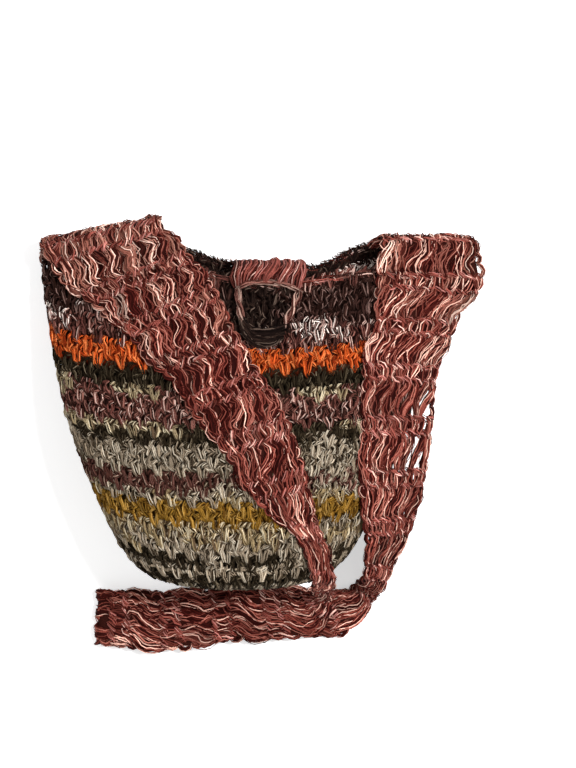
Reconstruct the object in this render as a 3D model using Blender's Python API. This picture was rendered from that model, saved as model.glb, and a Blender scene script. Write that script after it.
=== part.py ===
"""Crocheted shoulder bag (wayuu mochila), lying on its back with its wide strap laid over the front.

Metres, +Z up. The mouth faces +Y and the round base faces -Y. The origin is on the surface that the bag
lies on, under the middle of its footprint. Each piece is one closed body: the bag with its hollow inside,
the strap, and the closing loop that hangs from the back of the rim over the front.
"""

import bpy
import numpy as np
from mathutils import Vector
from mathutils.bvhtree import BVHTree

# Bag: rounds of crochet from the rim down to the edge of the base, then the base's own rounds
ROUNDS = 31
BASE_ROUNDS = 9.5
AXIS_X = -0.021
WALL = 0.005
ROUND_RELIEF = 0.0018  # depth of the groove between two rounds
BASE_BULGE = 0.007
RIM_HALF_WIDTH = 0.1715
BASE_HALF_WIDTH = 0.083
RIM_HEIGHT = 0.040
BASE_HEIGHT = 0.106
RIM_Y = 0.159  # side of the rim
BASE_Y = -0.103  # side of the base's edge
BASE_LIFT = 0.008  # the base's edge curls up off the surface
BACK_PRESS = 0.0035  # the back's crown that its weight presses flat

# Side y, half width and height at a round, and how far the round leans (y per height)
BAG_STATIONS = (
    (0, RIM_Y, RIM_HALF_WIDTH, RIM_HEIGHT, 0.50),
    (4, 0.123, 0.166, 0.062, 0.48),
    (8, 0.085, 0.159, 0.082, 0.45),
    (18, 0.004, 0.139, 0.114, 0.33),
    (24, -0.0445, 0.119, 0.119, 0.31),
    (28.5, -0.083, 0.100, 0.117, 0.34),
    (30, -0.095, 0.0915, 0.114, 0.36),
    (ROUNDS, BASE_Y, BASE_HALF_WIDTH, BASE_HEIGHT, 0.38),
)
# How far the rim sags towards the base, by x, on the front and on the back wall
SAG_FRONT = (
    (-0.191, 0.0), (-0.124, 0.0035), (-0.064, 0.007), (-0.027, 0.0145), (0.002, 0.020),
    (0.032, 0.019), (0.058, 0.013), (0.092, 0.011), (0.150, 0.0),
)
SAG_BACK = (
    (-0.191, 0.0), (-0.124, 0.004), (-0.067, 0.008), (-0.048, 0.015), (-0.033, 0.019), (0.001, 0.0225),
    (0.047, 0.023), (0.058, 0.019), (0.070, 0.011), (0.088, 0.004), (0.150, 0.0),
)
SAG_FADE = ((0, 1.0), (4, 0.6), (8, 0.2), (14, 0.0))  # share of the sag left at a round

# Strap: one flat band in tall rows of crochet, its ends joined to the back of the rim
STRAP_THICK = 0.0050
STRAP_GROOVE = 0.0012  # thinner between two rows
STRAP_SCALLOP = 0.0012  # each row's ends stand out at the edges
STRAP_FULL_WIDTH = 0.095
STRAP_ROW = 0.0095  # half a row of crochet
GATHER = 0.0042  # height of the lengthwise folds where the band is drawn in fully
JOINT_GAP = 0.0005
CLEAR = 0.0008
LEFT_ROOT = (-0.181, -0.113)  # x of the strap's ends along the rim
RIGHT_ROOT = (0.092, 0.138)
LOW = 3.6  # height of the middle of the lower layer of the doubled stretch, in millimetres
HIGH = 11.4  # and of the upper one

# Both edges of the band from the left end to the right end, in millimetres: x, y of one edge, x, y of the
# other. The next two numbers are heights of the edges. A station with a True after them drapes over the
# bag as well, where that is higher, and a station without them only drapes.
LEFT_FOLD = (
    (-185, 166, -104, 172, 13, 7, False),
    (-191, 168, -92, 187, 28, 24, False),
    (-189, 162, -88, 186, 41, 40, False),
)
LEFT_FRONT = (
    (-184, 151, -86, 177, 43, 42, True), (-171, 130, -73, 168, 43, 43, True), (-149, 115, -61, 151, 0, 42, True),
    (-129, 99, -47, 134), (-110, 82, -36, 114), (-94, 62, -24, 90), (-74, 46, -13, 69), (-55, 19, 7, 39),
    (-32, -10, 22, 8), (-13, -39, 34, -24), (4, -59, 40, -54), (22, -73, 47, -76), (33, -87, 53, -91),
    (41, -110, 58, -113, 99, 90, True), (43, -127, 59, -130, 62, 58, False), (42, -138, 58, -145, 22, 20, False),
)
DOUBLED = (
    (35, -138, 55, -160, 11, 11, False), (22, -137, 41, -176, HIGH, HIGH, False),
    (4, -134, 13, -178, HIGH, HIGH, False), (-34, -133, -31, -180, HIGH, HIGH, False),
    (-69, -136, -66, -187, HIGH, HIGH, False), (-104, -138, -102, -187, HIGH, HIGH, False),
    (-134, -137, -133, -184, HIGH, HIGH, False), (-142, -138, -142, -183, HIGH - 1, HIGH - 1, False),
    (-146, -138, -147, -183, (HIGH + LOW) / 2, (HIGH + LOW) / 2, False),
    (-142, -138, -142, -183, LOW + 1, LOW + 1, False), (-134, -138, -134, -184, LOW, LOW, False),
    (-91, -140, -91, -185, LOW, LOW, False), (-43, -137, -43, -181, LOW, LOW, False),
    (6, -134, 6, -176, LOW, LOW, False), (45, -136, 46, -176, LOW, LOW, False),
    (64, -138, 69, -177, LOW, LOW, False), (76, -136, 86, -160, 4.5, 4.5, False),
)
RIGHT_FRONT = (
    (83, -130, 98, -144, 5.5, 5.5, False), (86, -119, 106, -126, 6, 5.5, True), (88, -106, 113, -110),
    (88, -90, 122, -93), (85, -70, 130, -72), (82, -41, 137, -44), (82, -11, 141, -15), (84, 18, 145, 17),
    (85, 47, 147, 46), (87, 70, 155, 69), (94, 90, 164, 88), (97, 110, 174, 110, 0, 14, True),
    (98, 131, 190, 130, 46, 25, True), (100, 148, 188, 149, 46, 32, True),
)
RIGHT_FOLD = (
    (101, 162, 184, 162, 44, 34, False), (103, 171, 181, 170, 32, 27, False),
    (100, 172, 168, 170, 16, 20, False), (96, 168, 153, 168, 7, 14, False),
)

# Closing loop: a tab from the back rim that forks into two cords and ends in a band, in millimetres.
# Each row has its outer and inner left, middle, inner right and outer right points; the third number is
# a height, where the row isn't draped over the bag.
LOOP_THICK = 0.0045
LOOP_ROOT = (-0.028, 0.030)
LOOP_TOP = (
    ((-31, 149, 10), (-15, 150, 10), (2, 150, 10), (18, 150, 10), (34, 149, 10)),
    ((-31, 148, 24), (-15, 149, 24), (2, 149, 24), (18, 149, 24), (34, 148, 24)),
    ((-28, 140, 40), (-14, 141, 40), (2, 141, 40), (19, 141, 40), (35, 140, 40)),
)
LOOP_LOW = (
    ((-24, 126), (-14, 130), (2, 131), (20, 129), (35, 124)),
    ((-23, 115), (-15, 115), (3, 115), (22, 113), (31, 113)),
    ((-21, 103), (-14, 103), (0, 102), (16, 101), (26, 102)),
    ((-18, 92), (-11, 90), (0, 90), (12, 91), (22, 93)),
    ((-13, 78), (-7, 76), (1, 75), (9, 76), (17, 78)),
)
HOLE_ROWS = (4, 7)  # the loop is open between its cords from row to row

# Mesh density
BAG_COLUMNS = 44
STRAP_COLUMNS = 6
MM = 0.001

# Yarn colours, linear
YARNS = {
    "dusty_red": (0.18, 0.052, 0.04), "mauve": (0.16, 0.066, 0.06), "charcoal": (0.032, 0.02, 0.017),
    "tweed": (0.20, 0.15, 0.13), "orange": (0.52, 0.075, 0.016), "cream": (0.30, 0.22, 0.15),
    "stone": (0.34, 0.29, 0.21), "maroon": (0.095, 0.045, 0.038), "gold": (0.29, 0.17, 0.035),
    "tan": (0.23, 0.15, 0.085),
}
# Stripes from the rim to the base: yarn and number of rounds
STRIPES = (
    ("mauve", 2), ("charcoal", 3), ("tweed", 1.5), ("mauve", 1), ("orange", 2), ("charcoal", 1.5),
    ("cream", 1.5), ("mauve", 3), ("cream", 1), ("stone", 2.5), ("maroon", 1.5), ("stone", 1.5), ("gold", 2.5),
    ("tan", 2), ("stone", 1), ("maroon", 1.5), ("stone", 1), ("charcoal", 1.5), ("stone", 3), ("mauve", 3),
    ("charcoal", 4),
)


def curve_through(points, per_piece):
    """Smooth curve through rows of numbers, with per_piece[i] steps from row i to the next."""
    rows = np.asarray(points, float)
    padded = np.vstack([2 * rows[0] - rows[1], rows, 2 * rows[-1] - rows[-2]])
    result = []
    for i, steps in enumerate(per_piece):
        before, start, end, after = padded[i:i + 4]
        for t in np.arange(steps) / steps:
            result.append(0.5 * (2 * start + (end - before) * t
                                 + (2 * before - 5 * start + 4 * end - after) * t ** 2
                                 + (3 * start - before - 3 * end + after) * t ** 3))
    result.append(rows[-1])
    return np.array(result)


def station(round_number):
    """Side y, half width, height and lean of a round of the wall, on a smooth curve through the stations."""
    table = np.array(BAG_STATIONS)
    slopes = np.gradient(table[:, 1:], table[:, 0], axis=0)
    i = int(np.clip(np.searchsorted(table[:, 0], round_number) - 1, 0, len(table) - 2))
    span = table[i + 1, 0] - table[i, 0]
    t = (round_number - table[i, 0]) / span
    return ((1 + 2 * t) * (1 - t) ** 2 * table[i, 1:] + t * (1 - t) ** 2 * span * slopes[i]
            + t * t * (3 - 2 * t) * table[i + 1, 1:] + t * t * (t - 1) * span * slopes[i + 1])


def ring(round_number, count, inset):
    """Points round the bag at a round, equally spaced, starting under the middle of the back."""
    side_y, half, height, lean = station(min(round_number, ROUNDS))
    lift = BASE_LIFT * np.interp(round_number, (27, ROUNDS), (0, 1)) ** 2
    share = 1.0
    if round_number > ROUNDS:
        share = (ROUNDS + BASE_ROUNDS - round_number) / BASE_ROUNDS
        side_y -= BASE_BULGE * (1 - share * share)
    turn = np.interp(round_number, (ROUNDS - 1.5, ROUNDS + 1.5), (0, np.pi / 2))
    side_in, end_in = inset * np.cos(turn), inset * np.sin(turn)
    middle = lift + 0.45 * (height - lift)
    half = half * share - side_in
    above = (height - middle) * share - side_in
    below = (middle - lift + BACK_PRESS) * share - side_in
    flatness = np.interp(round_number, (0, 8, 27, 33), (3.0, 3.4, 3.2, 2.1))
    angle = np.linspace(-np.pi / 2, 1.5 * np.pi, 361)
    cos, sin = np.cos(angle), np.sin(angle)
    power = np.where(sin > 0, 2 / 2.2, 2 / flatness)
    x = AXIS_X + half * np.sign(cos) * np.abs(cos) ** power
    z = middle + np.where(sin > 0, above, below) * np.sign(sin) * np.abs(sin) ** power
    z = np.maximum(z, inset if inset > ROUND_RELIEF else 0)
    front = np.clip((z - lift) / (height - lift), 0, 1)
    sag = ((1 - front) * np.interp(x, *zip(*SAG_BACK)) + front * np.interp(x, *zip(*SAG_FRONT)))
    sag *= np.interp(round_number, *zip(*SAG_FADE))
    y = side_y + end_in - lean * (z - middle) - sag
    length = np.concatenate([[0], np.cumsum(np.hypot(np.diff(x), np.diff(z)))])
    at = np.arange(count) / count * length[-1]
    return np.stack([np.interp(at, length, values) for values in (x, y, z)], axis=1)


def lofted(rings, closed_start=None, closed_end=None):
    """Vertices and faces of rings of equal size, each end left open or closed to a point."""
    count = len(rings[0])
    vertices = np.vstack(rings)
    faces = []
    for row in range(len(rings) - 1):
        for i in range(count):
            j = (i + 1) % count
            faces.append((row * count + i, row * count + j, (row + 1) * count + j, (row + 1) * count + i))
    for point, first, flip in ((closed_start, 0, True), (closed_end, (len(rings) - 1) * count, False)):
        if point is None:
            continue
        vertices = np.vstack([vertices, point])
        tip = len(vertices) - 1
        for i in range(count):
            j = (i + 1) % count
            faces.append((first + j, first + i, tip) if flip else (first + i, first + j, tip))
    return vertices, faces


def yarn_at(round_number):
    """Name of the stripe's yarn at a round."""
    left = round_number
    for yarn, rounds in STRIPES:
        left -= rounds
        if left < 0:
            return yarn
    return STRIPES[-1][0]


def material(name, colour):
    """Matte yarn material."""
    made = bpy.data.materials.new(name)
    made.use_nodes = True
    shader = made.node_tree.nodes["Principled BSDF"]
    shader.inputs["Base Color"].default_value = (*colour, 1)
    shader.inputs["Roughness"].default_value = 0.9
    shader.inputs["Metallic"].default_value = 0.0
    made.diffuse_color = (*colour, 1)
    return made


def add_piece(name, vertices, faces, materials, slots=None):
    """Object of one closed body with outward faces."""
    mesh = bpy.data.meshes.new(name)
    mesh.from_pydata([tuple(v) for v in vertices], [], faces)
    for made in materials:
        mesh.materials.append(made)
    if slots is not None:
        mesh.polygons.foreach_set("material_index", slots)
    mesh.update()
    mesh.shade_smooth()
    piece = bpy.data.objects.new(name, mesh)
    bpy.context.scene.collection.objects.link(piece)
    return piece


def make_bag():
    """The bag: grooved rounds outside, a smooth hollow inside, joined over the rim."""
    end = ROUNDS + BASE_ROUNDS
    outer = [(v / 2, ROUND_RELIEF * (1 - v % 2)) for v in range(2 * ROUNDS + 1)]
    outer += [(ROUNDS + 0.5 + v, ROUND_RELIEF * (v % 2)) for v in range(int(BASE_ROUNDS))]
    inner = [(0.6, WALL)] + [(v, WALL) for v in np.linspace(3, ROUNDS - 1, 10)]
    inner += [(ROUNDS + 0.5, WALL), (ROUNDS + 3, WALL), (ROUNDS + 6, WALL)]
    rings = [ring(v, BAG_COLUMNS, inset) for v, inset in reversed(inner)]
    rings.append(ring(0, BAG_COLUMNS, 0.8 * WALL))
    rings += [ring(v, BAG_COLUMNS, inset) for v, inset in outer]
    inner_tip = ring(end - 0.01, 4, WALL).mean(axis=0)
    outer_tip = ring(end - 0.01, 4, ROUND_RELIEF).mean(axis=0)
    vertices, faces = lofted(rings, inner_tip, outer_tip)
    rows = [v for v, _ in reversed(inner)] + [0] + [v for v, _ in outer]
    names = list(YARNS)
    slots = [names.index(yarn_at(rows[min(row, len(rows) - 1)]))
             for row in range(len(rings) - 1) for _ in range(BAG_COLUMNS)]
    slots += [names.index(yarn_at(end))] * (2 * BAG_COLUMNS)
    return add_piece("bag_body", vertices, faces, [material(n, YARNS[n]) for n in names], slots)


class Drape:
    """Height at which a soft band rests over the bag: never steeper than SLOPE, rounded over edges."""

    CELL = 0.003
    SLOPE = 1.7
    ROUNDING = 0.010
    REACH = 0.048
    X_RANGE = (-0.225, 0.235)
    Y_RANGE = (-0.215, 0.215)

    def __init__(self):
        rings = [ring(v, 96, 0) for v in np.arange(0, ROUNDS + BASE_ROUNDS - 0.2, 0.5)]
        vertices, faces = lofted(rings)
        tree = BVHTree.FromPolygons([Vector(v) for v in vertices], faces)
        self.x = np.arange(self.X_RANGE[0], self.X_RANGE[1], self.CELL)
        self.y = np.arange(self.Y_RANGE[0], self.Y_RANGE[1], self.CELL)
        bare = np.zeros((len(self.x), len(self.y)))
        for i, x in enumerate(self.x):
            for j, y in enumerate(self.y):
                hit = tree.ray_cast(Vector((x, y, 1)), Vector((0, 0, -1)))[0]
                bare[i, j] = hit.z if hit else 0
        self.height = self.spread(bare)

    def spread(self, bare):
        """Raises the surface round each high point along a cone with a round tip."""
        reach = int(self.REACH / self.CELL)
        padded = np.pad(bare, reach)
        result = bare.copy()
        for i in range(-reach, reach + 1):
            for j in range(-reach, reach + 1):
                distance = np.hypot(i, j) * self.CELL
                drop = self.SLOPE * (np.hypot(distance, self.ROUNDING) - self.ROUNDING)
                part = padded[reach + i:reach + i + len(self.x), reach + j:reach + j + len(self.y)]
                result = np.maximum(result, part - drop)
        return result

    def at(self, x, y):
        """Height and steepness factor at points."""
        fx = np.clip((x - self.x[0]) / self.CELL, 0, len(self.x) - 1.001)
        fy = np.clip((y - self.y[0]) / self.CELL, 0, len(self.y) - 1.001)
        i, j = fx.astype(int), fy.astype(int)
        u, w = fx - i, fy - j
        h = self.height
        low = h[i, j] * (1 - u) + h[i + 1, j] * u
        high = h[i, j + 1] * (1 - u) + h[i + 1, j + 1] * u
        across = (h[i + 1, j] - h[i, j]) / self.CELL
        along = (h[i, j + 1] - h[i, j]) / self.CELL
        return low * (1 - w) + high * w, np.sqrt(1 + across ** 2 + along ** 2)


def rim_points(x):
    """Points on the edge of the back of the rim at given x, half way through the wall."""
    outer = ring(0, BAG_COLUMNS, ROUND_RELIEF)
    edge = (outer + ring(0, BAG_COLUMNS, 0.8 * WALL)) / 2
    edge[:, 1] = outer[:, 1]
    lower = edge[edge[:, 2] < RIM_HEIGHT / 2]
    lower = lower[np.argsort(lower[:, 0])]
    return np.stack([x, np.interp(x, lower[:, 0], lower[:, 1]), np.interp(x, lower[:, 0], lower[:, 2])], axis=1)


def surface_normals(grid):
    """Normals of a grid of points, upward where its rows run towards -Y and its columns towards +X."""
    along = np.gradient(grid, axis=0)
    across = np.gradient(grid, axis=1)
    normal = np.cross(along, across)
    return normal / np.linalg.norm(normal, axis=2, keepdims=True)


def resting_height(drape, x, y):
    """Height of the strap's middle surface where it lies on the bag or beside it."""
    height, steep = drape.at(x, y)
    return np.maximum(height + (CLEAR + STRAP_THICK / 2) * steep, LOW * MM)


def strap_middle(drape):
    """Middle surface of the strap: rows of points across the band, from the left end to the right end."""
    stations = []
    for entry in LEFT_FOLD + LEFT_FRONT + DOUBLED + RIGHT_FRONT + RIGHT_FOLD:
        ax, ay, bx, by = entry[:4]
        az, bz, draped = entry[4:] if len(entry) > 4 else (0, 0, True)
        stations.append((ax, ay, az, bx, by, bz, draped / MM))
    left, right = (rim_points(np.array(root)).ravel() / MM for root in (LEFT_ROOT, RIGHT_ROOT))
    table = np.array([(*left, 0), *stations, (*right, 0)]) * MM
    # The curve through the stations starts from the heights at which their edges rest
    draped = table[:, 6] > 0
    for edge in (0, 3):
        rest = resting_height(drape, table[:, edge], table[:, edge + 1])
        table[draped, edge + 2] = np.maximum(rest, table[:, edge + 2])[draped]
    spans = np.linalg.norm(np.diff((table[:, :3] + table[:, 3:6]) / 2, axis=0), axis=1)
    rows = curve_through(table, [max(1, round(span / STRAP_ROW)) for span in spans])
    across = np.linspace(0, 1, STRAP_COLUMNS + 1)[None, :, None]
    grid = rows[:, None, :3] * (1 - across) + rows[:, None, 3:6] * across
    share = np.clip(rows[:, 6], 0, 1)[:, None]
    rest = resting_height(drape, grid[:, :, 0], grid[:, :, 1])
    grid[:, :, 2] += share * np.maximum(rest - grid[:, :, 2], 0)
    grid[:, :, 2] = np.maximum(grid[:, :, 2], LOW * MM)
    for end, root in ((0, LEFT_ROOT), (-1, RIGHT_ROOT)):
        grid[end] = rim_points(np.linspace(*root, STRAP_COLUMNS + 1)) + (0, JOINT_GAP, 0)
    return grid


def make_strap(drape):
    """The strap: a band with a ridge for each row, scalloped edges, and gathers where it is drawn in."""
    middle = strap_middle(drape)
    normals = surface_normals(middle)
    normals[0] = (0, 0, -1)
    normals[-1] = (0, 0, 1)
    width = np.linalg.norm(middle[:, -1] - middle[:, 0], axis=1)
    drawn_in = np.clip(1 - width / STRAP_FULL_WIDTH, 0, 1)
    rings = []
    for row, (points, up) in enumerate(zip(middle, normals)):
        groove = STRAP_GROOVE * (row % 2)
        outward = (points[-1] - points[0]) / width[row]
        points = points.copy()
        points[0] -= outward * (STRAP_SCALLOP * (1 - row % 2) if 0 < row < len(middle) - 1 else 0)
        points[-1] += outward * (STRAP_SCALLOP * (1 - row % 2) if 0 < row < len(middle) - 1 else 0)
        half = (STRAP_THICK - groove) / 2
        fold = GATHER * drawn_in[row] ** 2 * (np.arange(STRAP_COLUMNS + 1) % 2)
        top = points + up * (half + fold * np.maximum(up[:, 2], 0))[:, None]
        bottom = points - up * (half + fold * np.maximum(-up[:, 2], 0))[:, None]
        rings.append(np.vstack([points[:1], bottom[1:-1], points[-1:], top[-2:0:-1]]))
    vertices, faces = lofted(rings)
    count = len(rings[0])
    faces.append(tuple(range(count - 1, -1, -1)))
    faces.append(tuple(range(len(vertices) - count, len(vertices))))
    return add_piece("strap", vertices, faces, [material("strap_yarn", YARNS["dusty_red"])])


def make_loop(drape):
    """The closing loop: a grid of cells with a hole, given a thickness."""
    root = rim_points(np.linspace(*LOOP_ROOT, 5)) + (0, JOINT_GAP, 0)
    rows = [root] + [np.array(row) * MM for row in LOOP_TOP]
    for row in LOOP_LOW:
        plan = np.array(row) * MM
        height, steep = drape.at(plan[:, 0], plan[:, 1])
        rows.append(np.column_stack([plan, height + (CLEAR + LOOP_THICK / 2) * steep]))
    grid = np.array(rows)
    up = surface_normals(grid)
    up[0] = (0, 0, -1)
    top, bottom = grid + up * LOOP_THICK / 2, grid - up * LOOP_THICK / 2
    lines, columns = grid.shape[:2]
    vertices = np.vstack([top.reshape(-1, 3), bottom.reshape(-1, 3)])
    cells = {(i, j) for i in range(lines - 1) for j in range(columns - 1)
             if not (HOLE_ROWS[0] <= i < HOLE_ROWS[1] and 0 < j < columns - 2)}
    under = lines * columns
    faces = []
    for i, j in sorted(cells):
        corners = [i * columns + j, (i + 1) * columns + j, (i + 1) * columns + j + 1, i * columns + j + 1]
        faces.append(tuple(corners))
        faces.append(tuple(under + c for c in reversed(corners)))
        sides = (((i, j - 1), 0, 1), ((i + 1, j), 1, 2), ((i, j + 1), 2, 3), ((i - 1, j), 3, 0))
        for neighbour, a, b in sides:
            if neighbour not in cells:
                faces.append((corners[b], corners[a], under + corners[a], under + corners[b]))
    return add_piece("closing_loop", vertices, faces, [material("loop_yarn", YARNS["mauve"])])


def main():
    for old in list(bpy.data.objects):
        bpy.data.objects.remove(old)
    make_bag()
    drape = Drape()
    make_strap(drape)
    make_loop(drape)


main()
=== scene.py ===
"""Looks of the crocheted shoulder bag: every stitch of the bag, the strap and the closing loop as yarn.

Metres, +Z up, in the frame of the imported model. The bag lies on its back, its mouth towards +Y, and the
camera looks straight down, as in the photograph. A yarn is a bundle of fine strands laid along the surface
of the fabric that it belongs to.
"""

import bpy
import numpy as np
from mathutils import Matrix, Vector
from mathutils.bvhtree import BVHTree


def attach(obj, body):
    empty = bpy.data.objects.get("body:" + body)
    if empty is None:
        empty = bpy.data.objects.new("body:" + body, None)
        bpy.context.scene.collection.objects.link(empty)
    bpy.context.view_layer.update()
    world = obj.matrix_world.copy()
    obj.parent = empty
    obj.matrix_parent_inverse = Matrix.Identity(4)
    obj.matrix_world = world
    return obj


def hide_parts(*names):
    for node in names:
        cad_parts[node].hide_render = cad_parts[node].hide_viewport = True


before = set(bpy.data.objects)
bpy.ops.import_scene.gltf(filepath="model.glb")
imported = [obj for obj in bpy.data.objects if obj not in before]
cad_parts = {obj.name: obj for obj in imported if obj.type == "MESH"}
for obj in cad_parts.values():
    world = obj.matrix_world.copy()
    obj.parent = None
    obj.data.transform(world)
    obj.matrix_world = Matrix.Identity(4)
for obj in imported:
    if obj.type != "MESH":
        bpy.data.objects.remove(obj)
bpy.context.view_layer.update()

MM = 0.001
SEED = 7
FLOOR_GAP = 0.0003

# Bag: rounds of crochet from the rim down to the edge of the base, then the base's own rounds
ROUNDS = 31
BASE_ROUNDS = 9.5
AXIS_X = -0.021
WALL = 0.005
BASE_BULGE = 0.007
BASE_LIFT = 0.008
BACK_PRESS = 0.0035
RIM_HEIGHT = 0.040

# Side y, half width and height at a round, and how far the round leans (y per height)
BAG_STATIONS = (
    (0, 0.159, 0.1715, RIM_HEIGHT, 0.50),
    (4, 0.123, 0.166, 0.062, 0.48),
    (8, 0.085, 0.159, 0.082, 0.45),
    (18, 0.004, 0.139, 0.114, 0.33),
    (24, -0.0445, 0.119, 0.119, 0.31),
    (28.5, -0.083, 0.100, 0.117, 0.34),
    (30, -0.095, 0.0915, 0.114, 0.36),
    (ROUNDS, -0.103, 0.083, 0.106, 0.38),
)
# How far the rim sags towards the base, by x, on the front and on the back wall
SAG_FRONT = (
    (-0.191, 0.0), (-0.124, 0.0035), (-0.064, 0.007), (-0.027, 0.0145), (0.002, 0.020),
    (0.032, 0.019), (0.058, 0.013), (0.092, 0.011), (0.150, 0.0),
)
SAG_BACK = (
    (-0.191, 0.0), (-0.124, 0.004), (-0.067, 0.008), (-0.048, 0.015), (-0.033, 0.019), (0.001, 0.0225),
    (0.047, 0.023), (0.058, 0.019), (0.070, 0.011), (0.088, 0.004), (0.150, 0.0),
)
SAG_FADE = ((0, 1.0), (4, 0.6), (8, 0.2), (14, 0.0))
LIFT_FROM = 27  # round from which the base's side lifts off the floor
EDGE_TURN = 1.5  # rounds on either side of the base's edge where the wall turns
WIDEST = 0.45  # height at which a round is widest, as a share of its own
FRONT_POWER = 2.2  # outline of a round: 2 is an ellipse, and more is squarer
BACK_POWERS = ((0, 3.0), (8, 3.4), (27, 3.2), (33, 2.1))
OUTLINE_POINTS = 361
FABRIC_STEP = 0.25  # rounds between two rows of points
FABRIC_COLUMNS = 240

# Strap: a flat band, and how it lies
STRAP_THICK = 0.0050
STRAP_ROW = 0.0095
STRAP_COLUMNS = 12
CLEAR = 0.0008  # gap to what it lies on
LEFT_ROOT = (-0.181, -0.113)  # x of its ends along the rim
RIGHT_ROOT = (0.092, 0.138)
LOW = 3.6  # heights of the two layers of the doubled stretch, in millimetres
HIGH = 11.4
# Both edges of the band, in millimetres: x, y of one edge, x, y of the other, then heights of the edges.
# The two fronts drape over the bag as well, and a station of theirs without heights only drapes.
LEFT_FOLD = (
    (-185, 166, -104, 172, 13, 7),
    (-191, 168, -92, 187, 28, 24),
    (-189, 162, -88, 186, 41, 40),
)
LEFT_FRONT = (
    (-184, 151, -86, 177, 43, 42), (-171, 130, -73, 168, 43, 43),
    (-149, 115, -61, 151, 0, 42), (-129, 99, -47, 134), (-110, 82, -36, 114), (-94, 62, -24, 90),
    (-74, 46, -13, 69), (-55, 19, 7, 39), (-32, -10, 22, 8), (-13, -39, 34, -24), (4, -59, 40, -54),
    (22, -73, 47, -76), (33, -87, 53, -91), (41, -110, 58, -113, 99, 90),
)
DOUBLED = (
    (43, -127, 59, -130, 62, 58), (42, -138, 58, -145, 22, 20),
    (35, -138, 55, -160, 11, 11), (22, -137, 41, -176, HIGH, HIGH),
    (4, -134, 13, -178, HIGH, HIGH), (-34, -133, -31, -180, HIGH, HIGH),
    (-69, -136, -66, -187, HIGH, HIGH), (-104, -138, -102, -187, HIGH, HIGH),
    (-134, -137, -133, -184, HIGH, HIGH), (-142, -138, -142, -183, HIGH - 1, HIGH - 1),
    (-146, -138, -147, -183, (HIGH + LOW) / 2, (HIGH + LOW) / 2),
    (-142, -138, -142, -183, LOW + 1, LOW + 1), (-134, -138, -134, -184, LOW, LOW),
    (-91, -140, -91, -185, LOW, LOW), (-43, -137, -43, -181, LOW, LOW),
    (6, -134, 6, -176, LOW, LOW), (45, -136, 46, -176, LOW, LOW),
    (64, -138, 69, -177, LOW, LOW), (76, -136, 86, -160, 4.5, 4.5), (83, -130, 98, -144, 5.5, 5.5),
)
RIGHT_FRONT = (
    (86, -119, 106, -126, 6, 5.5), (88, -106, 113, -110),
    (88, -90, 122, -93), (85, -70, 130, -72), (82, -41, 137, -44), (82, -11, 141, -15), (84, 18, 145, 17),
    (85, 47, 147, 46), (87, 70, 155, 69), (94, 90, 164, 88), (97, 110, 174, 110, 0, 14),
    (98, 131, 190, 130, 46, 25), (100, 148, 188, 149, 46, 32),
)
RIGHT_FOLD = (
    (101, 162, 184, 162, 44, 34), (103, 171, 181, 170, 32, 27),
    (100, 172, 168, 170, 16, 20), (96, 168, 153, 168, 7, 14),
)

# Closing loop: rows of points across it, in millimetres, with a height where a row isn't draped
LOOP_THICK = 0.0045
LOOP_ROOT = (-0.028, 0.030)
LOOP_TOP = (
    ((-31, 149, 10), (-15, 150, 10), (2, 150, 10), (18, 150, 10), (34, 149, 10)),
    ((-31, 148, 24), (-15, 149, 24), (2, 149, 24), (18, 149, 24), (34, 148, 24)),
    ((-28, 140, 40), (-14, 141, 40), (2, 141, 40), (19, 141, 40), (35, 140, 40)),
)
LOOP_LOW = (
    ((-24, 126), (-14, 130), (2, 131), (20, 129), (35, 124)),
    ((-23, 115), (-15, 115), (3, 115), (22, 113), (31, 113)),
    ((-21, 103), (-14, 103), (0, 102), (16, 101), (26, 102)),
    ((-18, 92), (-11, 90), (0, 90), (12, 91), (22, 93)),
    ((-13, 78), (-7, 76), (1, 75), (9, 76), (17, 78)),
)

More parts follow.
